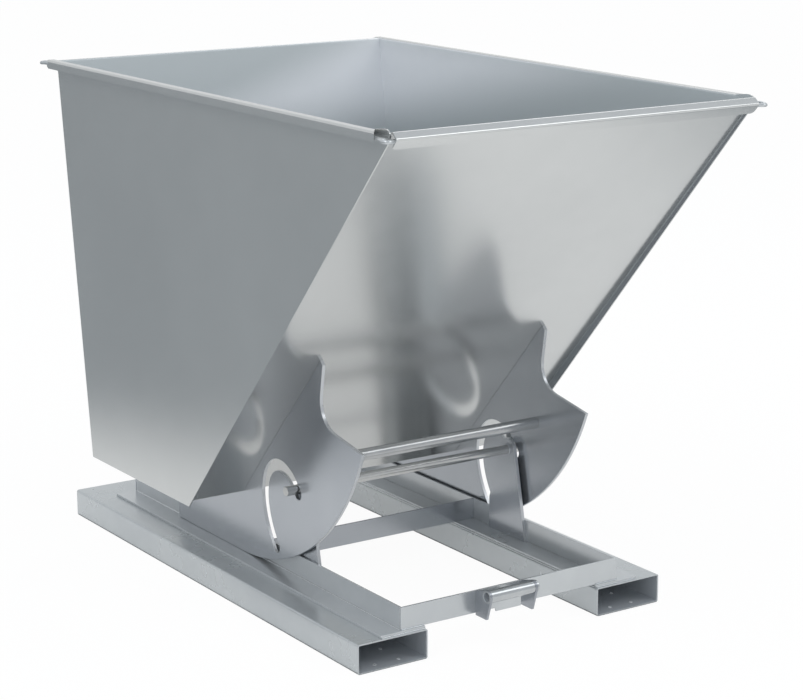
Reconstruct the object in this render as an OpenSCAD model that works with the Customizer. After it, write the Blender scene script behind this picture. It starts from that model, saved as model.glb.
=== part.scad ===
// Forklift tipping skip: a hopper on two rockers that rolls forward along a fork-pocket base.
// +X is to the right seen from the front, the skip tips towards -Y, and the floor is z = 0.

/* [Fork pockets] */
// Outer width of one fork pocket
pocket_w = 175; // [140:1:220]
// Outer height of a fork pocket
pocket_h = 66; // [50:1:90]
// Length of the fork pockets, front to rear
pocket_len = 1310; // [1250:5:1500]
// Wall thickness of the pocket tube
pocket_wall = 3; // [2.5:0.5:6]
// Outer corner radius of the pocket tube
pocket_r = 5; // [4.5:0.5:12]
// Distance between the centres of the two pockets
pocket_pitch = 628; // [600:1:680]
// Diameter of the drain holes in a pocket floor
drain_d = 6; // [4:0.5:12]
// Distance of the first drain holes from the pocket's end
drain_end = 25; // [20:1:60]
// Spacing of the drain holes along the pocket
drain_step = 70; // [40:1:120]
// Spacing of the drain holes across the pocket
drain_gauge = 60; // [30:1:100]

/* [Base frame] */
// Width of the flat track strip on each pocket
strip_w = 112; // [100:1:125]
// How far a strip's inner edge stays in from the pocket's inner side
strip_set = 2.5; // [0:0.5:10]
// Thickness of the track strip
strip_t = 6; // [4:0.5:15]
// How far the strips stay back from the front end of the pockets
strip_back = 5; // [2:0.5:20]
// How far the strips run back past the hopper's heel
strip_past = 106; // [90:1:130]
// Height of the guide rails and crossbars
rail_h = 50; // [35:1:70]
// Thickness of the guide rails and crossbars
rail_t = 5; // [4:0.5:8]
// How far the front crossbar stays back from the end of the strips
rail_back = 5; // [0:0.5:20]
// Distance of a guide rail's outer face from the strip's inner edge
rail_set = 59; // [50:1:66]
// Distance of the middle crossbar's face from the middle of the pockets
mid_bar_y = 106; // [60:1:170]

/* [Uprights and shaft] */
// Thickness of the uprights
upright_t = 8; // [6:0.5:12]
// Height of the upright's straight rear edge
upright_rise = 75; // [40:1:110]
// Length of an upright's foot
upright_foot = 141; // [100:1:180]
// Distance of the foot's front end from the middle of the pockets
upright_front = 321; // [300:1:345]
// Radius of the upright's head round the shaft
upright_head_r = 26; // [20:0.5:30]
// Diameter of the fixed shaft
shaft_d = 22; // [16:0.5:25]
// Distance of the shaft ahead of the rolling centre, as a share of the rolling radius
shaft_ahead = 0.4412; // [0.43:0.0002:0.45]
// Distance of the shaft below the rolling centre, as a share of the rolling radius
shaft_below = 0.6158; // [0.6:0.0002:0.63]
// How far the shaft stands out past each rocker
shaft_over = 28; // [15:1:60]
// Running clearance of a pin in its bore, on the radius
pin_fit = 0.05; // [0.02:0.01:0.1]

/* [Front sleeve] */
// Outer diameter of the sleeve tube
sleeve_d = 28; // [22:0.5:34]
// Bore of the sleeve tube
sleeve_bore = 21; // [14:0.5:26]
// Length of the sleeve tube
sleeve_len = 131; // [100:1:200]
// Left end of the sleeve, from the middle of the skip
sleeve_left = 96; // [60:1:120]
// How far the sleeve's centre stands ahead of the front crossbar
sleeve_reach = 39; // [28:0.5:60]
// Height of the sleeve's centre below the top of the front crossbar
sleeve_drop = 4; // [0:0.5:20]
// Thickness of the sleeve's cheeks
cheek_t = 6; // [4:0.5:10]
// Metal left round the sleeve in the cheeks
cheek_rim = 1; // [0.5:0.5:4]
// How far the cheeks reach below the front crossbar
cheek_low = 5; // [0:0.5:8]
// Clear distance between the two cheeks
cheek_gap = 114; // [80:1:125]
// Thickness of the web under the sleeve
web_t = 4; // [3:0.5:8]
// Depth of the web below the sleeve's centre
web_drop = 35; // [28:1:45]
// Radius of the cut-out in the web's lower corner
web_notch = 18; // [10:1:20]
// Length of the web
web_len = 84; // [50:1:100]

/* [Hopper] */
// Outer width over the side walls
hopper_w = 908; // [850:2:1000]
// Sheet thickness of the hopper's side walls and front wall
sheet_t = 3; // [2:0.5:4]
// Thickness of the hopper's floor and rear wall
back_t = 4; // [3:0.5:4.5]
// Height of the side walls' lower edge above the floor
hopper_z = 212; // [200:1:230]
// Height of the side rims above the floor
rim_z = 1159; // [1050:1:1300]
// How far the front rim stands above the side rims
front_rise = 2.5; // [0:0.5:6]
// Distance of the side walls' front lower corner from the middle of the pockets
front_foot = 35; // [25:1:50]
// Distance of the side walls' rear lower corner from the middle of the pockets
rear_foot = 447; // [420:1:480]
// Slope of the side walls' front edge from the horizontal, in degrees
side_slope = 48.5; // [46:0.1:55]
// Slope of the front wall from the horizontal, in degrees
front_slope = 47.9; // [46:0.1:55]
// Lean of the rear wall from the vertical, in degrees
rear_lean = 7.4; // [0:0.1:12]
// How far the side walls stand past the front wall at its foot, square to it
front_lip = 20; // [14:0.5:25]
// Corner radius of the side walls at the top in front
side_corner_r = 14; // [6:1:20]
// How far these corners stand above the rim
side_corner_rise = 4; // [0:0.5:8]
// How far the side walls stand past the floor and the rear wall
seam_lip = 5; // [2:0.5:12]
// Width of the folded rim
rim_w = 23; // [16:0.5:32]
// Depth of the rim's outer lip on the front and the rear wall
rim_lip_ends = 28; // [20:0.5:36]
// Depth of the rim's outer lip on the side walls
rim_lip_sides = 20; // [18:0.5:30]
// Corner radius of the rim's lips
lip_corner_r = 10; // [6:1:18]
// Distance of a side rim's front end from the front wall's ridge
rim_end = 25; // [15:1:40]
// How much further back the inner corner of that end is
rim_end_cut = 30; // [0:1:40]
// Outer bend radius of the folded rim
bend_r = 5; // [4.5:0.25:6]
// Diameter of the rod that runs inside the rim
rod_d = 8; // [5:0.5:10]
// Depth of the rod's centre below the rim
rod_drop = 16; // [15.5:0.5:18]
// Bend radius of the rod's centre line at the corners
rod_bend = 15; // [10:0.5:30]

/* [Rockers] */
// Thickness of the rocker plates
rocker_t = 8; // [6:0.5:12]
// Clear gap between a guide rail and its rocker
rocker_gap = 5; // [3:0.5:8]
// Rolling radius of the rockers
roll_r = 544; // [540:1:550]
// Distance of the rolling contact at rest from the middle of the pockets
roll_y = 10; // [0:1:20]
// Clearance between the rockers and the track strips
roll_gap = 0.3; // [0.2:0.1:1]
// How far the hopper tips, in degrees
tip_angle = 65; // [45:1:66]
// Width of the slot that the shaft runs in
slot_w = 27; // [26:0.5:30]
// Front tip of the rockers, from the middle of the pockets
rocker_tip_y = 519; // [510:1:524]
// Height of the rocker's tip above the track strips
rocker_tip_h = 352; // [345:1:358]
// Length of a rocker's flat foot behind the rolling contact
rocker_rear = 310; // [250:1:380]
// Height of the rocker's top corner above the track strips
rocker_top_h = 524; // [500:1:560]
// How far the rocker's upper horn stands out ahead of its top corner
horn_out = 9; // [6:1:20]
// How far the horn's front end lies below the top corner
horn_drop = 10; // [6:1:20]
// Corner of the hollow between horn and tip, from the middle of the pockets
hollow_y = 344; // [336:1:352]
// Height of that corner above the track strips
hollow_h = 383; // [375:1:390]
// Radius of the hollow
hollow_r = 62; // [40:1:70]
// Diameter of the tube between the rockers
tube_d = 27; // [20:0.5:34]
// Wall thickness of that tube
tube_wall = 3; // [2:0.5:5]
// Distance of the tube from the middle of the pockets
tube_y = 335; // [325:1:345]
// Height of the tube above the track strips
tube_h = 290; // [280:1:300]

/* [Roll centre pin] */
// Diameter of the pin at the rockers' centre, in the right side wall
hub_d = 12; // [8:0.5:20]
// Diameter of its heads
hub_head_d = 26; // [22:0.5:40]
// Thickness of its heads
hub_head_t = 3; // [2:0.5:6]
// Clearance between its heads and the wall
hub_play = 0.3; // [0.2:0.1:0.6]

/* [Rear latch] */
// Thickness of the latch hook
hook_t = 8; // [6:0.5:12]
// Width of the latch arm
hook_w = 20; // [16:0.5:26]
// Depth of the hook's nose
nose_h = 14; // [10:0.5:20]
// Angle between the released and the locked hook, in degrees
hook_swing = 20; // [14:1:24]
// Diameter of the latch's pivot pin
latch_pin_d = 12; // [8:0.5:14]
// Height of the latch pivot above the rear crossbar
latch_rise = 30; // [22:1:45]
// Distance of the latch pivot ahead of the rear crossbar
latch_ahead = 20; // [18:0.5:24]
// Radius of the rounded end of the latch and its lugs
latch_head_r = 16; // [14:0.5:18]
// Thickness of the latch's and the catch's lugs
lug_t = 6; // [4:0.5:10]
// Side play of the hook between its lugs
hook_play = 0.5; // [0.3:0.1:2]
// How far the pivot pin stands out past its lugs
latch_pin_over = 4; // [2:0.5:8]
// Diameter of the catch pin on the hopper
catch_d = 14; // [10:0.5:16]
// Radius of the catch lugs' rounded ends
catch_head_r = 13; // [12:0.5:16]
// Height of the catch pin above the latch pivot
catch_rise = 150; // [130:1:170]
// Distance of the catch pin ahead of the latch pivot
catch_ahead = 40; // [30:1:42]
// Length of the catch pin
catch_len = 60; // [50:1:100]
// Clearance between the hook and the catch pin
catch_play = 1; // [0.5:0.25:3]
// Reach of the latch's hand lever from its pivot
lever_len = 225; // [200:1:235]
// Diameter of the lever's rounded end
lever_end_d = 22; // [16:1:28]

/* [Hidden] */

steel = [0.66, 0.69, 0.71];
bright = [0.78, 0.80, 0.82];
dark = [0.50, 0.54, 0.58];
round_fn = 96;
small_fn = 48;
arc_steps = 10;
head_steps = 24;
slot_steps = 26;
// Overlap of a cutting tool past the face that it cuts
past = 1;

// Heights and edges of the base
track_z = pocket_h + strip_t;
rail_top = track_z + rail_h;
base_front = -pocket_len / 2;
base_rear = pocket_len / 2;
strip_front = base_front + strip_back;
strip_rear = rear_foot + strip_past;
strip_in = pocket_pitch / 2 - pocket_w / 2 + strip_set;
bar_face = strip_front + rail_back;
rail_out = strip_in + rail_set;
rail_in = rail_out - rail_t;

// Planes of the rockers, the rolling centre, the shaft and the tube
rocker_in = rail_out + rocker_gap;
rocker_out = rocker_in + rocker_t;
roll_c = [-roll_y, track_z + roll_r];
shaft_c = roll_c - roll_r * [shaft_ahead, shaft_below];
tube_c = [-tube_y, track_z + tube_h];
bore_play = 2 * pin_fit;

// Hopper walls: the lower outer edge, the way up, the way out, the length and the thickness
t = sheet_t;
half_in = hopper_w / 2 - t;
floor_z = hopper_z + seam_lip;
side_up = [-cos(side_slope), sin(side_slope)];
side_foot = [-front_foot, hopper_z];
side_heel = [rear_foot, hopper_z];
front_up = [-cos(front_slope), sin(front_slope)];
front_out = [-sin(front_slope), -cos(front_slope)];
rear_up = [sin(rear_lean), cos(rear_lean)];
rear_out = [cos(rear_lean), -sin(rear_lean)];
front_base = at_height(side_foot - front_lip * front_out, front_up, floor_z);
rear_base = at_height(side_heel - seam_lip * rear_out, rear_up, floor_z);
front_len = (rim_z + front_rise - floor_z - t * cos(front_slope)) / front_up[1];
rear_len = (rim_z - floor_z - back_t * sin(rear_lean)) / rear_up[1];
front_wall_line = [front_base, front_up, front_out, front_len, t];
rear_wall_line = [rear_base, rear_up, rear_out, rear_len, back_t];

// The origin is below the middle of the whole skip, from the front rim's bend to the pockets' ends
rim_front = on_wall(front_wall_line, front_len - bend_r, rim_w - t - bend_r)[0] - bend_r;
mid_y = (rim_front + base_rear) / 2;

function unit(v) = v / norm(v);
function turn(v, a) = [v[0] * cos(a) - v[1] * sin(a), v[0] * sin(a) + v[1] * cos(a)];
function at_height(p, way, z) = p + way * ((z - p[1]) / way[1]);
function on_wall(wall, s, n) = wall[0] + s * wall[1] + n * wall[2];
function inner_at(wall, z) = at_height(wall[0] - wall[4] * wall[2], wall[1], z);

// The point where a line from p touches the circle round c
function touch(p, c, r, side) =
    p + turn(unit(c - p), side * asin(r / norm(c - p))) * sqrt((c - p) * (c - p) - r * r);

// An arc round c, from its touching line from p to its touching line from q
function head(c, r, p, q) =
    let (
        a = touch(p, c, r, -1) - c,
        b = touch(q, c, r, 1) - c,
        start = atan2(a[1], a[0]),
        end = atan2(b[1], b[0]),
        sweep = end > start ? end - start : end - start + 360
    )
    [for (k = [0 : head_steps]) c + turn([r, 0], start + sweep * k / head_steps)];

// The points of a polygon whose corners are rounded, each by its own radius
function rounded(p, r) = [
    for (i = [0 : len(p) - 1])
        let (
            n = len(p),
            a = unit(p[(i + n - 1) % n] - p[i]),
            b = unit(p[(i + 1) % n] - p[i]),
            half = acos(a * b) / 2,
            c = p[i] + unit(a + b) * r[i] / sin(half),
            side = sign(a[0] * b[1] - a[1] * b[0]),
            start = p[i] + a * r[i] / tan(half) - c
        )
        each r[i] == 0 ? [p[i]] :
            [for (k = [0 : arc_steps]) c + turn(start, -side * (180 - 2 * half) * k / arc_steps)]
];

// Where the fixed shaft lies in the hopper's own frame when the hopper has tipped by a degrees
function slot_pt(a) =
    let (
        y = shaft_c[0] - roll_c[0] + roll_r * a * PI / 180,
        z = shaft_c[1] - roll_c[1]
    )
    roll_c + [y * cos(a) + z * sin(a), -y * sin(a) + z * cos(a)];

module placed() {
    translate([0, -mid_y, 0]) children();
}

// A profile drawn in Y and Z, carried along X from one place to another
module along_x(x0, x1) {
    translate([x0, 0, 0]) rotate([90, 0, 90]) linear_extrude(x1 - x0) children();
}

module rod_x(x0, x1, c, d) {
    translate([x0, c[0], c[1]]) rotate([0, 90, 0]) cylinder(h = x1 - x0, d = d, $fn = round_fn);
}

module bar(size, at) {
    translate(at) cube(size);
}

module disc(c, r) {
    translate(c) circle(r = r, $fn = round_fn);
}

// Fork pockets: rectangular tubes, open at both ends, with drain holes near each end
module pocket_outline(w, h, r) {
    polygon(rounded([[-w / 2, 0], [w / 2, 0], [w / 2, h], [-w / 2, h]], [r, r, r, r]));
}

module fork_pocket(side) {
    wall = pocket_wall;
    placed() color(steel) translate([side * pocket_pitch / 2, base_rear, 0]) difference() {
        rotate([90, 0, 0]) linear_extrude(pocket_len) difference() {
            pocket_outline(pocket_w, pocket_h, pocket_r);
            translate([0, wall]) pocket_outline(pocket_w - 2 * wall, pocket_h - 2 * wall, pocket_r - wall);
        }
        for (x = [-drain_gauge / 2, drain_gauge / 2], k = [0, 1], far = [0, 1]) {
            from_end = drain_end + k * drain_step;
            translate([x, far == 1 ? from_end - pocket_len : -from_end, -past])
                cylinder(h = wall + 2 * past, d = drain_d, $fn = small_fn);
        }
    }
}

module fork_pocket_left() { fork_pocket(-1); }
module fork_pocket_right() { fork_pocket(1); }

// Track strips: flat bars welded on the pockets, on which the rockers roll
module track_strip(side) {
    x = side > 0 ? strip_in : -strip_in - strip_w;
    placed() color(steel) bar([strip_w, strip_rear - strip_front, strip_t], [x, strip_front, pocket_h]);
}

module track_strip_left() { track_strip(-1); }
module track_strip_right() { track_strip(1); }

// Guide rails: flat bars on edge that keep the rockers in line, with three crossbars
module guide_rail(side) {
    x = side > 0 ? rail_in : -rail_out;
    placed() color(steel)
        bar([rail_t, strip_rear - bar_face - 2 * rail_t, rail_h], [x, bar_face + rail_t, track_z]);
}

module guide_rail_left() { guide_rail(-1); }
module guide_rail_right() { guide_rail(1); }

module crossbar(half, y) {
    placed() color(steel) bar([2 * half, rail_t, rail_h], [-half, y, track_z]);
}

module front_crossbar() { crossbar(rail_out, bar_face); }
module middle_crossbar() { crossbar(rail_in, -mid_bar_y); }
module rear_crossbar() { crossbar(rail_out, strip_rear - rail_t); }

// Uprights: tapered plates against the inside of the guide rails, with the shaft in their heads
module upright(side) {
    x = side > 0 ? rail_in - upright_t : -rail_in;
    toe = [-upright_front, track_z];
    heel = toe + [upright_foot, 0];
    knee = heel + [0, upright_rise];
    placed() color(steel) along_x(x, x + upright_t) difference() {
        polygon(concat([toe, heel, knee], head(shaft_c, upright_head_r, knee, toe)));
        disc(shaft_c, shaft_d / 2);
    }
}

module upright_left() { upright(-1); }
module upright_right() { upright(1); }

module pivot_shaft() {
    reach = rocker_out + shaft_over;
    placed() color(bright) rod_x(-reach, reach, shaft_c, shaft_d);
}

// Front sleeve: a tube through two cheeks on the front crossbar, with a short web under it
sleeve_c = [bar_face - sleeve_reach, rail_top - sleeve_drop];
cheek_in = -sleeve_left + cheek_t;

module sleeve_tube() {
    end = -sleeve_left + sleeve_len;
    placed() color(bright) difference() {
        rod_x(-sleeve_left, end, sleeve_c, sleeve_d);
        rod_x(-sleeve_left - past, end + past, sleeve_c, sleeve_bore);
    }
}

module sleeve_cheeks() {
    low = track_z - cheek_low;
    head_r = sleeve_d / 2 + cheek_rim;
    toe = [sleeve_c[0], low];
    heel = [bar_face, low];
    top = [bar_face, rail_top];
    placed() color(steel) for (x = [-sleeve_left, cheek_in + cheek_gap])
        along_x(x, x + cheek_t) difference() {
            polygon(concat([toe, heel, top], head(sleeve_c, head_r, top, toe)));
            disc(sleeve_c, sleeve_d / 2);
        }
}

module sleeve_web() {
    placed() color(steel) difference() {
        translate([cheek_in, sleeve_c[0] + web_t / 2, sleeve_c[1] - web_drop])
            rotate([90, 0, 0]) linear_extrude(web_t) difference() {
                square([web_len, web_drop]);
                disc([0, 0], web_notch);
            }
        rod_x(cheek_in - past, cheek_in + web_len + past, sleeve_c, sleeve_d);
    }
}

// Rear latch: a hook with a hand lever that turns on a pin between two lugs
latch_c = [strip_rear - rail_t - latch_ahead, rail_top + latch_rise];
catch_c = latch_c + [-catch_ahead, catch_rise];
catch_reach = norm(catch_c - latch_c);
locked_dir = atan2(catch_ahead, catch_rise);
lug_in = hook_t / 2 + hook_play;

module latch_lugs() {
    toe = [latch_c[0] - latch_head_r, track_z];
    heel = [strip_rear - rail_t, track_z];
    top = [strip_rear - rail_t, rail_top];
    placed() color(steel) for (x = [-lug_in - lug_t, lug_in])
        along_x(x, x + lug_t) difference() {
            polygon(concat([toe, heel, top], head(latch_c, latch_head_r, top, toe)));
            disc(latch_c, latch_pin_d / 2);
        }
}

module latch_pin() {
    reach = lug_in + lug_t + latch_pin_over;
    placed() color(bright) rod_x(-reach, reach, latch_c, latch_pin_d);
}

// The hook is drawn upright, with its pivot at the origin and the catch pin straight above it
module hook_outline() {
    grip = catch_d / 2 + catch_play;
    nose_z = catch_reach + grip;
    lever_r = lever_end_d / 2;
    difference() {
        union() {
            disc([0, 0], latch_head_r);
            translate([grip, 0]) square([hook_w, nose_z + nose_h]);
            translate([-grip, nose_z]) square([2 * grip + hook_w, nose_h]);
            translate([grip + hook_w / 4, 0]) square([hook_w / 2, lever_len - lever_r]);
            disc([grip + hook_w / 2, lever_len - lever_r], lever_r);
        }
        disc([0, 0], latch_pin_d / 2 + pin_fit);
    }
}

module latch_hook() {
    placed() color(dark) translate([0, latch_c[0], latch_c[1]])
        along_x(-hook_t / 2, hook_t / 2) rotate(locked_dir - hook_swing) hook_outline();
}

module catch_lugs() {
    low = at_height(rear_base, rear_up, catch_c[1] - catch_head_r);
    high = at_height(rear_base, rear_up, catch_c[1] + catch_head_r);
    placed() color(steel) for (x = [-catch_len / 2, catch_len / 2 - lug_t])
        along_x(x, x + lug_t) difference() {
            polygon(concat([high, low], head(catch_c, catch_head_r, low, high)));
            disc(catch_c, catch_d / 2);
        }
}

module catch_pin() {
    placed() color(bright) rod_x(-catch_len / 2, catch_len / 2, catch_c, catch_d);
}

// Hopper: two side walls, and a front wall, floor and rear wall between them.
// A rim is folded outwards and down on all four walls, with a rod inside it.
module end_wall(wall) {
    len = wall[3];
    w = wall[4];
    edge = rim_w - t;
    tilt = atan2(wall[1][1], wall[1][0]);
    facing = wall[2][0] < 0 ? 1 : -1;
    difference() {
        along_x(-half_in, half_in) polygon(rounded(
            [wall[0], on_wall(wall, len - w, 0), on_wall(wall, len - w, edge - w),
             on_wall(wall, len - rim_lip_ends, edge - w), on_wall(wall, len - rim_lip_ends, edge),
             on_wall(wall, len, edge), on_wall(wall, len, -w), inner_at(wall, floor_z)],
            [0, bend_r - w, bend_r - w, 0, 0, bend_r, bend_r, 0]));
        // The lower corners of the rim's lip are round
        translate([0, wall[0][0], wall[0][1]]) rotate([tilt, 0, 0])
            for (side = [0, 1]) mirror([side, 0, 0])
                translate([half_in, len - rim_lip_ends, facing * (edge - w / 2)])
                    linear_extrude(2 * w, center = true) lip_corner();
    }
}

module lip_corner() {
    r = lip_corner_r;
    polygon(concat([[-r, -past], [past, -past], [past, r]],
        [for (k = [0 : arc_steps]) [-r, r] + turn([r, 0], -90 * k / arc_steps)]));
}

module front_wall() {
    placed() color(steel) end_wall(front_wall_line);
}

module rear_wall() {
    placed() color(steel) end_wall(rear_wall_line);
}

module floor_plate() {
    placed() color(steel) along_x(-half_in, half_in) polygon([
        inner_at(front_wall_line, floor_z), inner_at(rear_wall_line, floor_z),
        inner_at(rear_wall_line, floor_z + back_t), inner_at(front_wall_line, floor_z + back_t)
    ]);
}

// The rim on a side wall is cut at an angle in front and ends at the rear rim's outer bend
side_rim_front = inner_at(front_wall_line, rim_z)[0] + rim_end;

module side_rim() {
    y0 = side_rim_front;
    y1 = on_wall(rear_wall_line, rear_len, rim_w - t)[0];
    low = rim_z - rim_lip_sides;
    difference() {
        translate([half_in, y1, 0]) rotate([90, 0, 0]) linear_extrude(y1 - y0) polygon(rounded(
            [[0, rim_z - 2 * t], [0, rim_z], [rim_w, rim_z], [rim_w, low], [rim_w - t, low],
             [rim_w - t, rim_z - t], [t, rim_z - t], [t, rim_z - 2 * t]],
            [0, bend_r, bend_r, 0, 0, bend_r - t, bend_r - t, 0]));
        translate([half_in, y0, low - past]) linear_extrude(rim_lip_sides + 2 * past)
            polygon([[-past, -past], [-past, rim_end_cut], [0, rim_end_cut], [rim_w, 0], [rim_w, -past]]);
        along_x(half_in, half_in + rim_w + past) translate([y1, low]) lip_corner();
    }
}

module side_wall(hub) {
    top = rim_z - 2 * t;
    step = side_rim_front + rim_end_cut;
    peak = rim_z + side_corner_rise;
    difference() {
        union() {
            along_x(half_in, half_in + t) polygon(rounded(
                [side_foot, at_height(side_foot, side_up, peak), [side_rim_front, peak], [step, rim_z],
                 [step, top], at_height(side_heel, rear_up, top), side_heel],
                [0, side_corner_r, side_corner_r, 0, 0, 0, 0]));
            side_rim();
        }
        if (hub) rod_x(half_in - past, half_in + t + past, roll_c, hub_d + bore_play);
    }
}

module side_wall_left() {
    placed() color(steel) mirror([1, 0, 0]) side_wall(false);
}

module side_wall_right() {
    placed() color(steel) side_wall(true);
}

// Rim rod: a closed ring of round bar against the inside of the lips, bent at the four corners
rod_z = rim_z - rod_drop;

function rod_y(wall) =
    wall[0][0] + (rim_w - t - wall[4] - rod_d / 2 - (rod_z - wall[0][1]) * wall[2][1]) / wall[2][0];

module rim_rod() {
    x = half_in + rim_w - t - rod_d / 2;
    y0 = rod_y(front_wall_line);
    y1 = rod_y(rear_wall_line);
    b = rod_bend;
    placed() color(bright) translate([0, 0, rod_z]) {
        for (side = [-1, 1]) translate([side * x, y0 + b, 0]) rotate([-90, 0, 0])
            cylinder(h = y1 - y0 - 2 * b, d = rod_d, $fn = small_fn);
        for (y = [y0, y1]) translate([b - x, y, 0]) rotate([0, 90, 0])
            cylinder(h = 2 * (x - b), d = rod_d, $fn = small_fn);
        for (c = [[x - b, y1 - b, 0], [b - x, y1 - b, 90], [b - x, y0 + b, 180], [x - b, y0 + b, 270]])
            translate([c[0], c[1], 0]) rotate(c[2]) rotate_extrude(angle = 90, $fn = round_fn)
                translate([b, 0]) circle(d = rod_d, $fn = small_fn);
    }
}

// Rockers: plates under the hopper, cut to a rolling arc in front, with the shaft's slot
module rocker_outline() {
    top = at_height(front_base, front_up, track_z + rocker_top_h);
    horn = top - [horn_out, horn_drop];
    hollow = [-hollow_y, track_z + hollow_h];
    tip = [-rocker_tip_y, track_z + rocker_tip_h];
    foot_z = track_z + roll_gap;
    // The edge at the tip is drawn past the arc, which trims it
    over = tip + unit(tip - hollow) * hollow_r;
    union() {
        intersection() {
            translate(roll_c) circle(r = roll_r - roll_gap, $fn = 360);
            polygon(rounded(
                [[-roll_y, 0], [-roll_y, floor_z], front_base, top, horn, hollow, over, [over[0], 0]],
                [0, 0, 0, 0, 0, hollow_r, 0, 0]));
        }
        translate([-roll_y, foot_z]) square([rocker_rear, floor_z - foot_z]);
    }
}

// The slot follows the shaft's path from just before rest to just past full tip
module slot_outline() {
    from = -2;
    to = tip_angle + 1.5;
    step = (to - from) / slot_steps;
    path = [for (k = [0 : slot_steps]) slot_pt(from + k * step)];
    side = [for (k = [0 : slot_steps])
        turn(unit(slot_pt(from + k * step + 0.1) - slot_pt(from + k * step - 0.1)), 90) * slot_w / 2];
    union() {
        polygon(concat(
            [for (k = [0 : slot_steps]) path[k] + side[k]],
            [for (k = [slot_steps : -1 : 0]) path[k] - side[k]]));
        disc(path[0], slot_w / 2);
        disc(path[slot_steps], slot_w / 2);
    }
}

module rocker(side) {
    x = side > 0 ? rocker_in : -rocker_out;
    placed() color(steel) along_x(x, x + rocker_t) difference() {
        rocker_outline();
        slot_outline();
    }
}

module rocker_left() { rocker(-1); }
module rocker_right() { rocker(1); }

module spacer_tube() {
    placed() color(bright) difference() {
        rod_x(-rocker_in, rocker_in, tube_c, tube_d);
        rod_x(-rocker_in - past, rocker_in + past, tube_c, tube_d - 2 * tube_wall);
    }
}

// Roll centre pin: a headed pin on the rockers' centre line, in the right side wall
module roll_centre_pin() {
    x0 = half_in - hub_play;
    x1 = half_in + t + hub_play;
    placed() color(bright) union() {
        rod_x(x0 - hub_head_t, x1 + hub_head_t, roll_c, hub_d);
        rod_x(x0 - hub_head_t, x0, roll_c, hub_head_d);
        rod_x(x1, x1 + hub_head_t, roll_c, hub_head_d);
    }
}

fork_pocket_left();
fork_pocket_right();
track_strip_left();
track_strip_right();
guide_rail_left();
guide_rail_right();
front_crossbar();
middle_crossbar();
rear_crossbar();
upright_left();
upright_right();
pivot_shaft();
sleeve_tube();
sleeve_cheeks();
sleeve_web();
latch_lugs();
latch_pin();
latch_hook();
roll_centre_pin();
side_wall_left();
side_wall_right();
front_wall();
floor_plate();
rear_wall();
rim_rod();
rocker_left();
rocker_right();
spacer_tube();
catch_lugs();
catch_pin();
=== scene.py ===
from math import cos, pi, radians, sin

import bmesh
import bpy
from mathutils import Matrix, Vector


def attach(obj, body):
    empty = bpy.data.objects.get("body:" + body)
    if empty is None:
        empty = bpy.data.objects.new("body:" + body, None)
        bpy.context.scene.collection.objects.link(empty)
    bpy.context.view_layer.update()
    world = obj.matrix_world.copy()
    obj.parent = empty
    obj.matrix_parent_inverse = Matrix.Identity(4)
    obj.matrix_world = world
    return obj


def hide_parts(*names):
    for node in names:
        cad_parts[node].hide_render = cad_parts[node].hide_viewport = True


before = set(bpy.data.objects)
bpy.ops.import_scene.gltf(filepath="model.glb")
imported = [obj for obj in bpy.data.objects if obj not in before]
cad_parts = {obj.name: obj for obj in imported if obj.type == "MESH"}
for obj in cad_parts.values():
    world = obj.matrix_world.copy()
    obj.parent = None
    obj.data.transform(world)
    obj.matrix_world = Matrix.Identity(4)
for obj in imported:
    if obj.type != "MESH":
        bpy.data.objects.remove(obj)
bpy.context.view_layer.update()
scene = bpy.context.scene
scene.view_settings.view_transform = "Standard"


# Camera: the photograph was taken from the front left, a little above the rim,
# with a long lens. Place, turn and lens come from the edges of the base and hopper.
eye = (-2.8150, -4.3257, 1.7829)
azimuth, elevation, roll = -33.77, 13.61, 0.03
camera = bpy.data.objects.new("camera", bpy.data.cameras.new("camera"))
camera.location = eye
camera.rotation_euler = (radians(90 - elevation), radians(roll), radians(azimuth))
camera.data.sensor_width = 36
camera.data.lens = 103.63
camera.data.shift_x = -0.0027
camera.data.shift_y = -0.0026
camera.data.clip_end = 200
scene.collection.objects.link(camera)
scene.camera = camera


# Studio floor: one wide white sheet. What the zinc mirrors is white ahead of the skip, pale
# grey beside it, and darkened by a painted shadow at its left and painted shadows below the
# pockets. A part of the sheet glows for what sees it, and the rest takes the skip's shadow.
class Wire:
    """One socket of a node tree. Sums and products of wires add Math nodes."""

    def __init__(self, tree, socket):
        self.tree, self.socket = tree, socket

    def math(self, operation, *values):
        return self.tree.add("ShaderNodeMath", {"operation": operation}, *values)

    def __add__(self, other):
        return self.math("ADD", self, other)

    def __radd__(self, other):
        return self.math("ADD", other, self)

    def __sub__(self, other):
        return self.math("SUBTRACT", self, other)

    def __rsub__(self, other):
        return self.math("SUBTRACT", other, self)

    def __mul__(self, other):
        return self.math("MULTIPLY", self, other)

    def __rmul__(self, other):
        return self.math("MULTIPLY", other, self)

    def __truediv__(self, other):
        return self.math("DIVIDE", self, other)

    def __rtruediv__(self, other):
        return self.math("DIVIDE", other, self)

    def __abs__(self):
        return self.math("ABSOLUTE", self)

    def between(self, low, high, start=0.0, end=1.0):
        """Eases from start to end while the wire goes from low to high."""
        return self.tree.add("ShaderNodeMapRange", {"interpolation_type": "SMOOTHSTEP"},
                             self, low, high, start, end)


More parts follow.
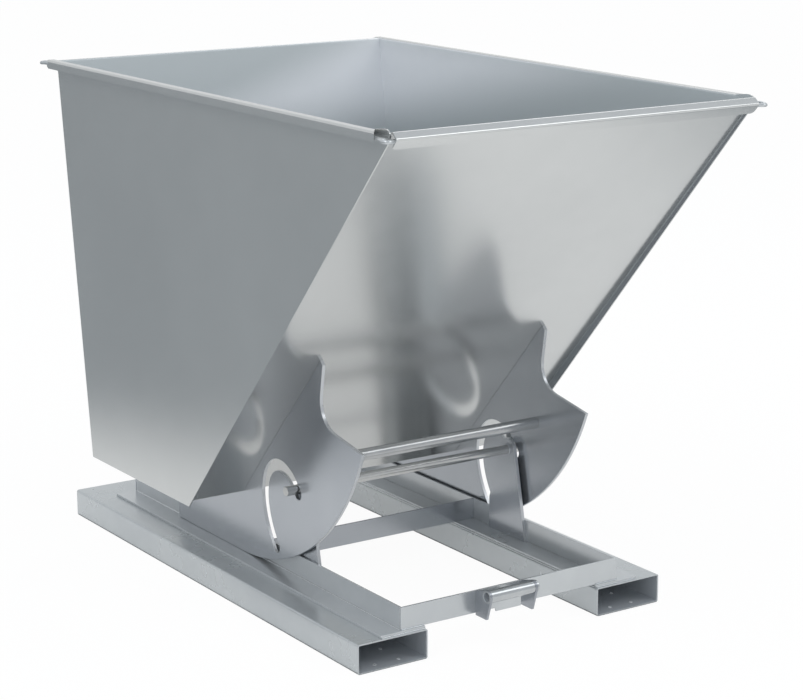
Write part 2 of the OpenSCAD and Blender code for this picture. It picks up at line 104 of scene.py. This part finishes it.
class Tree:
    """The nodes of a material or a world."""

    def __init__(self, owner):
        owner.use_nodes = True
        self.nodes, self.links = owner.node_tree.nodes, owner.node_tree.links
        self.nodes.clear()

    def add(self, kind, settings=None, *values, out=0, **named):
        """Makes any node: its settings first, then the values or links of its sockets."""
        node = self.nodes.new(kind)
        for name, value in (settings or {}).items():
            setattr(node, name, value)
        for key, value in [*enumerate(values), *named.items()]:
            if value is None:
                continue
            socket = node.inputs[key if isinstance(key, int) else key.replace("_", " ")]
            if isinstance(value, Wire):
                self.links.new(value.socket, socket)
            else:
                socket.default_value = value
        return Wire(self, node.outputs[out]) if node.outputs else node

    def mix(self, factor, first, second):
        """A blend of two colours. Their sockets stand after those for numbers and vectors."""
        first, second = (c if isinstance(c, Wire) else (*c, 1) for c in (first, second))
        return self.add("ShaderNodeMix", {"data_type": "RGBA"},
                        factor, None, None, None, None, None, first, second, out=2)


floor_half = 60
floor_white = (0.99, 0.99, 0.99)
floor_grey = (0.365, 0.393, 0.413)
painted_left_shadow_grey = (0.12, 0.13, 0.145)
painted_pocket_shadow_grey = (0.05, 0.055, 0.06)
glow_seen, glow_mirrored, glow_strength = 0.94, 0.67, 1.02
view_way = (0.556, 0.831)
white_half, white_spread, grey_edge = 1.0, 0.19, 0.9
grey_front, grey_start = -2.6, -0.9
painted_left_shadow_x, painted_left_shadow_y = -0.64, -0.05
painted_left_shadow_half_w, painted_left_shadow_fade_w, painted_left_shadow_half_len, painted_left_shadow_fade_len = 0.08, 0.13, 0.14, 0.26
pocket_x, pocket_y = 0.314, 0.111
pocket_half_w, pocket_half_len, shade_edge = 0.0905, 0.657, 0.004

floor_mesh = bpy.data.meshes.new("studio_floor")
floor_corners = [(side * floor_half, end * floor_half, 0)
                 for side, end in ((-1, -1), (1, -1), (1, 1), (-1, 1))]
floor_mesh.from_pydata(floor_corners, [], [(0, 1, 2, 3)])
floor = bpy.data.objects.new("studio_floor", floor_mesh)
scene.collection.objects.link(floor)

floor_paint = bpy.data.materials.new("floor_paint")
tree = Tree(floor_paint)
place = tree.add("ShaderNodeTexCoord", out="Object")
x, y = (tree.add("ShaderNodeSeparateXYZ", {}, place, out=axis) for axis in "XY")
camera_ray, glossy_ray, clear_ray = (
    tree.add("ShaderNodeLightPath", out=kind)
    for kind in ("Is Camera Ray", "Is Glossy Ray", "Is Transmission Ray"))
along = x * view_way[0] + y * view_way[1]
across = abs(x * view_way[1] - y * view_way[0])
ahead = along.math("MAXIMUM", along, 0.0)
edge = ahead * white_spread + white_half
grey = ((across - edge).between(0.0, grey_edge) * y.between(grey_front, grey_start)
        * (1.0 - camera_ray))
# Painted shadow: a dark patch on the floor at the skip's left, seen only in reflections.
painted_left_shadow = (abs(x - painted_left_shadow_x).between(painted_left_shadow_half_w, painted_left_shadow_fade_w, 1.0, 0.0)
        * abs(y - painted_left_shadow_y).between(painted_left_shadow_half_len, painted_left_shadow_fade_len, 1.0, 0.0) * glossy_ray)
# Painted shadow: a dark patch on the floor under each fork pocket, seen only in reflections.
below = (abs(abs(x) - pocket_x).between(pocket_half_w, pocket_half_w + shade_edge, 1.0, 0.0)
         * abs(y - pocket_y).between(pocket_half_len, pocket_half_len + shade_edge, 1.0, 0.0)
         * glossy_ray)
colour = tree.mix(painted_left_shadow, tree.mix(grey, floor_white, floor_grey), painted_left_shadow_grey)
colour = tree.mix(below, colour, painted_pocket_shadow_grey)
seen = (camera_ray + clear_ray) * glow_seen + glossy_ray * glow_mirrored
matt = tree.add("ShaderNodeBsdfDiffuse", {}, colour, 1.0)
glow = tree.add("ShaderNodeEmission", {}, colour, glow_strength)
tree.add("ShaderNodeOutputMaterial", {}, tree.add("ShaderNodeMixShader", {}, seen, matt, glow))
floor_mesh.materials.append(floor_paint)


# Studio light: a bright sky behind the skip and a dimmer one elsewhere. Two wide soft
# lamps on the right draw bright lines on bends and bars, and one on the left lights the inside.
side_sky, far_sky, top_sky = (0.70, 0.72, 0.745), (0.83, 0.845, 0.855), (0.66, 0.695, 0.735)
sky_strength, sky_rise = 0.95, 0.25
far_start, far_full, top_start, top_full = -0.2, 0.9, 0.3, 0.9

world = bpy.data.worlds.new("studio")
scene.world = world
tree = Tree(world)
way = tree.add("ShaderNodeTexCoord", out="Generated")
ahead = tree.add("ShaderNodeVectorMath", {"operation": "DOT_PRODUCT"},
                 way, (*view_way, sky_rise), out="Value")
up = tree.add("ShaderNodeSeparateXYZ", {}, way, out="Z")
round_sky = tree.mix(ahead.between(far_start, far_full), side_sky, far_sky)
sky = tree.mix(up.between(top_start, top_full), round_sky, top_sky)
tree.add("ShaderNodeOutputWorld", {}, tree.add("ShaderNodeBackground", {}, sky, sky_strength))


def soft_lamp(name, place, turn, size, watts):
    """A rectangular lamp, turned by so many degrees about X, Y and Z."""
    lamp = bpy.data.objects.new(name, bpy.data.lights.new(name, "AREA"))
    lamp.location = place
    lamp.rotation_euler = [radians(a) for a in turn]
    lamp.data.shape = "RECTANGLE"
    lamp.data.size, lamp.data.size_y = size
    lamp.data.energy = watts
    scene.collection.objects.link(lamp)


soft_lamp("front_lamp", place=(2.2, -3.0, 3.7), turn=(40, 0, 36), size=(2.4, 1.8), watts=22)
soft_lamp("rear_lamp", place=(2.2, 1.5, 3.7), turn=(-40, 0, -44), size=(2.4, 1.4), watts=13)
soft_lamp("left_lamp", place=(-2.6, -0.9, 4.2), turn=(8, -38, 0), size=(2.0, 2.0), watts=28)


# Fork pockets: rectangular tubes of rolled and welded strip, zinc dipped, and sawn off
# square. The zinc is smooth and pale, with faint cloudy patches and a soft grain.
def zinc(name, pale, dark, rough, cloud_size=3.0, grain_size=24.0, metal=0.86, tint=None):
    """Smooth hot-dip zinc with faint cloudy patches and a soft grain in its colour and gloss."""
    noise_low, noise_high, cloud_share, grain_share = 0.3, 0.7, 0.8, 0.2
    cloud_gloss, grain_gloss = 0.08, 0.02
    material = bpy.data.materials.new(name)
    tree = Tree(material)
    place = tree.add("ShaderNodeTexCoord", out="Object")
    cloud = tree.add("ShaderNodeTexNoise", {}, place, Scale=cloud_size, Detail=3.0, Roughness=0.55)
    grain = tree.add("ShaderNodeTexNoise", {}, place, Scale=grain_size, Detail=2.0, Roughness=0.6)
    tone = (cloud.between(noise_low, noise_high) * cloud_share
            + grain.between(noise_low, noise_high) * grain_share)
    colour = tree.mix(tone, dark, pale)
    if tint:
        colour = tint(tree, place, colour)
    roughness = rough + (cloud - 0.5) * cloud_gloss + (grain - 0.5) * grain_gloss
    shader = tree.add("ShaderNodeBsdfPrincipled", {}, Base_Color=colour, Metallic=metal,
                      Roughness=roughness)
    tree.add("ShaderNodeOutputMaterial", {}, shader)
    return material


def looks_at(*middle):
    """A test for the faces that look towards a point, such as those of a box's inside."""
    least_area = 1e-5
    return lambda face: (face.calc_area() > least_area
                         and face.normal.dot(Vector(middle) - face.calc_center_median()) > 0)


def dress(node, body, material, edge_mm, other=None, where=None, smooth_deg=30.0):
    """A copy of a CAD node, its doubles merged and its edges broken, takes the node's place.
    The faces that pass the test get the other material."""
    doubles_m, flat_deg = 1e-6, 0.5
    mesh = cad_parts[node].data.copy()
    mesh.name = node + "_plate"
    bm = bmesh.new()
    bm.from_mesh(mesh)
    bmesh.ops.remove_doubles(bm, verts=bm.verts, dist=doubles_m)
    bmesh.ops.dissolve_limit(bm, angle_limit=radians(flat_deg), verts=bm.verts, edges=bm.edges)
    for face in bm.faces:
        face.smooth = True
        face.material_index = 1 if other and where(face) else 0
    for line in bm.edges:
        line.smooth = line.is_manifold and line.calc_face_angle() < radians(smooth_deg)
    mesh.materials.clear()
    mesh.materials.append(material)
    if other:
        mesh.materials.append(other)
    bm.to_mesh(mesh)
    bm.free()
    piece = bpy.data.objects.new(node + "_plate", mesh)
    scene.collection.objects.link(piece)
    bevel = piece.modifiers.new("broken_edges", "BEVEL")
    bevel.width = edge_mm / 1000
    bevel.segments = 2
    bevel.limit_method = "ANGLE"
    bevel.angle_limit = radians(smooth_deg)
    bevel.use_clamp_overlap = True
    bevel.harden_normals = True
    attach(piece, body)
    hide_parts(node)


pocket_zinc = zinc("pocket_zinc", pale=(0.59, 0.62, 0.63), dark=(0.53, 0.56, 0.575),
                   rough=0.27, metal=0.55)
dull_zinc = zinc("dull_zinc", pale=(0.60, 0.63, 0.66), dark=(0.53, 0.56, 0.59),
                 rough=0.42, metal=0.25)
pocket_mid_z = 0.033
for side, x in (("left", -pocket_x), ("right", pocket_x)):
    dress("fork_pocket_" + side, "base", pocket_zinc, edge_mm=0.6,
          other=dull_zinc, where=looks_at(x, pocket_y, pocket_mid_z))


# Zinc collars: the bath leaves a small raised rim round every drain hole in the pockets'
# floors. They are swept by Geometry Nodes as rings of round bar, half sunk in the floor.
group = bpy.data.node_groups.new("round_bar", "GeometryNodeTree")
for name, kind in (("Geometry", "Geometry"), ("Bar Radius", "Float"), ("Sides", "Int"),
                   ("Steps", "Int"), ("Finish", "Material")):
    group.interface.new_socket(name=name, socket_type="NodeSocket" + kind, in_out="INPUT")
group.interface.new_socket(name="Geometry", socket_type="NodeSocketGeometry", in_out="OUTPUT")
inlet, outlet = group.nodes.new("NodeGroupInput"), group.nodes.new("NodeGroupOutput")
soft = group.nodes.new("GeometryNodeCurveSplineType")
soft.spline_type = "CATMULL_ROM"
steps = group.nodes.new("GeometryNodeSetSplineResolution")
ring = group.nodes.new("GeometryNodeCurvePrimitiveCircle")
sweep = group.nodes.new("GeometryNodeCurveToMesh")
sweep.inputs["Fill Caps"].default_value = True
shade = group.nodes.new("GeometryNodeSetShadeSmooth")
real = group.nodes.new("GeometryNodeRealizeInstances")
paint = group.nodes.new("GeometryNodeSetMaterial")
for source, target in ((inlet.outputs["Geometry"], soft.inputs["Curve"]),
                       (soft.outputs["Curve"], steps.inputs["Geometry"]),
                       (inlet.outputs["Steps"], steps.inputs["Resolution"]),
                       (steps.outputs[0], sweep.inputs["Curve"]),
                       (inlet.outputs["Bar Radius"], ring.inputs["Radius"]),
                       (inlet.outputs["Sides"], ring.inputs["Resolution"]),
                       (ring.outputs["Curve"], sweep.inputs["Profile Curve"]),
                       (sweep.outputs["Mesh"], shade.inputs[0]),
                       (shade.outputs[0], real.inputs[0]),
                       (real.outputs[0], paint.inputs["Geometry"]),
                       (inlet.outputs["Finish"], paint.inputs["Material"]),
                       (paint.outputs[0], outlet.inputs[0])):
    group.links.new(source, target)


def round_bar(name, lines, radius, body, finish, closed, sides=16, steps=6):
    """A piece of round bar, bent smoothly through the places of every line. It is one plain
    mesh, with closed ends where its lines are open."""
    path = bpy.data.curves.new(name + "_path", "CURVE")
    path.dimensions = "3D"
    for places in lines:
        line = path.splines.new("POLY")
        line.points.add(len(places) - 1)
        for point, place in zip(line.points, places):
            point.co = (*place, 1)
        line.use_cyclic_u = closed
    maker = bpy.data.objects.new(name + "_maker", path)
    scene.collection.objects.link(maker)
    sweep_line = maker.modifiers.new("round_bar", "NODES")
    sweep_line.node_group = group
    values = {"Bar Radius": radius, "Sides": sides, "Steps": steps, "Finish": finish}
    for item in group.interface.items_tree:
        if item.in_out == "INPUT" and item.name in values:
            sweep_line[item.identifier] = values[item.name]
    bpy.context.view_layer.update()
    made = maker.evaluated_get(bpy.context.evaluated_depsgraph_get())
    bar = bpy.data.objects.new(name, bpy.data.meshes.new_from_object(made))
    bpy.data.objects.remove(maker)
    scene.collection.objects.link(bar)
    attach(bar, body)
    return bar


# Near-white zinc on the collars: a painted highlight, far paler than the zinc round them.
collar_highlight_zinc = zinc("collar_highlight_zinc", pale=(0.96, 0.97, 0.98), dark=(0.90, 0.92, 0.94),
                   rough=0.30, metal=0.3)
collar_r, collar_z, collar_bar_r = 0.0034, 0.0032, 0.0009
hole_xs, hole_ys = (-0.344, -0.284, 0.284, 0.344), (-0.519, -0.449, 0.671, 0.741)
turns = [k * pi / 6 for k in range(12)]
collars = [[(x + collar_r * cos(a), y + collar_r * sin(a), collar_z) for a in turns]
           for x in hole_xs for y in hole_ys]
round_bar("drain_collars", collars, collar_bar_r, "base", collar_highlight_zinc,
          closed=True, sides=8, steps=2)


# Track strips, guide rails and crossbars: hot-rolled flat bar, welded to the pockets
# and to each other, and zinc dipped with them.
strip_zinc = zinc("strip_zinc", pale=(0.65, 0.675, 0.69), dark=(0.58, 0.605, 0.62),
                  rough=0.26, metal=0.6)
pale_zinc = zinc("pale_zinc", pale=(0.63, 0.655, 0.665), dark=(0.56, 0.585, 0.60),
                 rough=0.24, metal=0.78)
plate_zinc = zinc("plate_zinc", pale=(0.505, 0.53, 0.56), dark=(0.455, 0.48, 0.51),
                  rough=0.24, metal=0.75)
for node, finish in (("track_strip_left", strip_zinc), ("track_strip_right", strip_zinc),
                     ("guide_rail_left", strip_zinc), ("guide_rail_right", strip_zinc),
                     ("front_crossbar", pale_zinc), ("middle_crossbar", plate_zinc),
                     ("rear_crossbar", plate_zinc)):
    dress(node, "base", finish, edge_mm=0.7)


# Weld beads: along the inner edge and the front end of each track strip, and along the
# feet of the guide rails and of the front crossbar. Zinc fills and smooths them.
bead_r, bead_front, bead_rear, bead_inner = 0.0021, -0.533, 0.655, 0.230
side_beads = ((0.2286, 0.0664), (0.2883, 0.0723))
front_beads = ((0.339, -0.5392, 0.0662), (0.287, -0.5343, 0.0723))
beads = [[(side * x, bead_front, z), (side * x, bead_rear, z)]
         for side in (-1, 1) for x, z in side_beads]
beads += [[(side * bead_inner, y, z), (side * x, y, z)]
          for side in (-1, 1) for x, y, z in front_beads]
round_bar("weld_beads", beads, bead_r, "base", pale_zinc, closed=False)


# Uprights: two tapered plates, flame cut from 8 mm sheet and welded against the guide
# rails, that hold the pivot shaft. Thick hot-rolled plate takes a darker zinc.
def cut_edge(face):
    """A test for the faces round the rim of a plate that looks towards the sides."""
    return abs(face.normal.x) < 0.5


# The cut edges round each plate take a lighter zinc: a painted highlight.
edge_highlight_zinc = zinc("edge_highlight_zinc", pale=(0.60, 0.62, 0.64), dark=(0.53, 0.55, 0.57), rough=0.28)
for side in ("left", "right"):
    dress("upright_" + side, "base", plate_zinc, edge_mm=0.8, other=edge_highlight_zinc, where=cut_edge)


# Pivot shaft: bright drawn bar through both uprights and both rockers' slots, a little
# warmer in colour than the zinc. A weld bead holds it at the inner face of each upright.
bar_zinc = zinc("bar_zinc", pale=(0.56, 0.565, 0.56), dark=(0.50, 0.505, 0.50),
                rough=0.22, cloud_size=12.0, metal=0.94)
dress("pivot_shaft", "base", bar_zinc, edge_mm=1.0)
shaft_y, shaft_z = -0.1390, 0.2810
weld_x, weld_r, weld_bar_r = 0.2738, 0.0122, 0.0022
shaft_rings = [[(side * weld_x, shaft_y + weld_r * cos(a), shaft_z + weld_r * sin(a))
                for a in turns] for side in (-1, 1)]
round_bar("shaft_welds", shaft_rings, weld_bar_r, "base", plate_zinc,
          closed=True, sides=8, steps=3)


# Front sleeve: a short piece of bright tube through two cheeks of flame-cut plate, which
# are welded to the front crossbar, with a small web below the tube.
sleeve_middle = (-0.0305, -0.573, 0.118)
sleeve_zinc = zinc("sleeve_zinc", pale=(0.55, 0.57, 0.58), dark=(0.49, 0.51, 0.52),
                   rough=0.18, cloud_size=12.0, metal=0.94)
dress("sleeve_tube", "base", sleeve_zinc, edge_mm=0.6,
      other=dull_zinc, where=looks_at(*sleeve_middle))
cheek_zinc = zinc("cheek_zinc", pale=(0.42, 0.44, 0.47), dark=(0.33, 0.35, 0.38),
                  rough=0.26, cloud_size=12.0, metal=0.8)
dress("sleeve_cheeks", "base", cheek_zinc, edge_mm=0.6)
dress("sleeve_web", "base", pale_zinc, edge_mm=0.5)


# Rear latch: a flame-cut hook with its hand lever, on a bright pin between two lugs
# that are welded to the rear crossbar. Its plate is a darker zinc.
dark_zinc = zinc("dark_zinc", pale=(0.46, 0.48, 0.50), dark=(0.38, 0.40, 0.42),
                 rough=0.34, cloud_size=14.0)
dress("latch_lugs", "base", pale_zinc, edge_mm=0.6)
dress("latch_pin", "base", bar_zinc, edge_mm=0.6)
dress("latch_hook", "latch", dark_zinc, edge_mm=0.8)


# Hopper: folded sheet, zinc dipped. The side walls stand past the front wall, floor and
# rear wall, which are welded in between them, and the rim is folded outwards all round.
front_slope, front_heel, floor_z, rim_z = 1.1067, 0.0984, 0.217, 1.14
load_middle = (0, 0, 0.7)
# Painted shade inside the hopper: darker towards the front and the left, which leaves a pool of
# light in the rear right corner.
right_painted_shade, right_start, right_full, right_lean = (0.50, 0.54, 0.555), -0.45, 0.30, 4
rear_painted_shade, rear_start, rear_full, rear_lean = (0.60, 0.645, 0.66), 0.15, 0.55, 3
lip_shade_low, lip_shade_high = (0.40, 0.425, 0.445), (0.28, 0.30, 0.325)
lip_start, lip_full, lip_fade = 0.3, 0.85, 0.004


def inner_painted_shade(tree, place, colour):
    """Painted shade away from the rear right corner, along the right wall and then along the
    rear one, and darker painted shade where the side walls stand past the front wall."""
    x, y, z = (tree.add("ShaderNodeSeparateXYZ", {}, place, out=axis) for axis in "XYZ")
    # Painted shade towards the front and towards the left, with edges that lean with depth like
    # light falling over the rim.
    along_right = (y - (rim_z - z) * right_lean).between(right_start, right_full)
    colour = tree.mix(along_right, right_painted_shade, colour)
    along_rear = (x + (rim_z - z) * rear_lean).between(rear_start, rear_full)
    colour = tree.mix(along_rear, rear_painted_shade, colour)
    # Painted shade on the strips of side wall that stand past the front wall, darker higher up.
    lip = tree.mix(z.between(lip_start, lip_full), lip_shade_low, lip_shade_high)
    past_front = y + (z - floor_z) / front_slope - front_heel
    return tree.mix(past_front.between(-lip_fade, 0.0), lip, colour)


sheet_zinc = zinc("sheet_zinc", pale=(0.66, 0.672, 0.665), dark=(0.61, 0.622, 0.617),
                  rough=0.20, cloud_size=1.6, metal=0.82)
# The inside takes a paler, more diffuse copy of the sheet's zinc: painted light that lifts the
# inside.
inner_painted_light_zinc = zinc("inner_painted_light_zinc", pale=(0.90, 0.92, 0.95), dark=(0.86, 0.885, 0.915),
                  rough=0.38, cloud_size=1.6, metal=0.2, tint=inner_painted_shade)
for node in ("side_wall_left", "side_wall_right", "front_wall", "floor_plate", "rear_wall"):
    dress(node, "hopper", sheet_zinc, edge_mm=0.5,
          other=inner_painted_light_zinc, where=looks_at(*load_middle))


# Rim rod: a closed ring of round bar that stiffens the folded rim. It lies hidden
# behind the lips and is bent out past them into a small loop at each corner.
rod_r = 0.004
rod_ring = [(0.200, -0.7558, 1.143), (0.425, -0.7558, 1.143), (0.445, -0.7570, 1.143),
            (0.457, -0.7605, 1.143), (0.465, -0.7645, 1.143), (0.472, -0.7630, 1.143),
            (0.4745, -0.7540, 1.144), (0.472, -0.7440, 1.145), (0.468, -0.7240, 1.145),
            (0.467, -0.6900, 1.145), (0.467, 0.0000, 1.147), (0.467, 0.6400, 1.149),
            (0.468, 0.6780, 1.15), (0.474, 0.6990, 1.151), (0.4795, 0.7100, 1.151),
            (0.475, 0.7180, 1.151), (0.465, 0.7160, 1.151), (0.459, 0.7060, 1.15),
            (0.455, 0.6950, 1.149), (0.447, 0.6880, 1.149), (0.430, 0.6860, 1.149),
            (0.200, 0.6860, 1.149)]
rod_ring += [(-x, y, z) for x, y, z in reversed(rod_ring)]
rim_rod = round_bar("rim_rod_bar", [rod_ring], rod_r, "hopper", pale_zinc,
                    closed=True)
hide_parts("rim_rod")


# Rockers: 8 mm plates, flame cut to the rolling arc and the curved slot, and welded
# under the hopper's floor and front wall. A bright tube ties them together.
for side in ("left", "right"):
    # As on the uprights, the cut edges take the lighter zinc, a painted highlight.
    dress("rocker_" + side, "hopper", plate_zinc, edge_mm=0.8, other=edge_highlight_zinc, where=cut_edge)
tube_zinc = zinc("tube_zinc", pale=(0.49, 0.50, 0.505), dark=(0.43, 0.44, 0.445),
                 rough=0.22, cloud_size=12.0, metal=0.94)
dress("spacer_tube", "hopper", tube_zinc, edge_mm=0.6)


# Catch: a bright pin between two lugs that are cut from plate and welded to the rear
# wall. The latch hook holds the hopper down by it.
dress("catch_lugs", "hopper", pale_zinc, edge_mm=0.6)
dress("catch_pin", "hopper", bar_zinc, edge_mm=0.6)


# Roll centre pin: a small headed pin of bright bar in the right side wall, at the centre
# of the rockers' arc. It carries the rolling motion and is no piece of the real skip.
dress("roll_centre_pin", "roll_centre", bar_zinc, edge_mm=0.5)
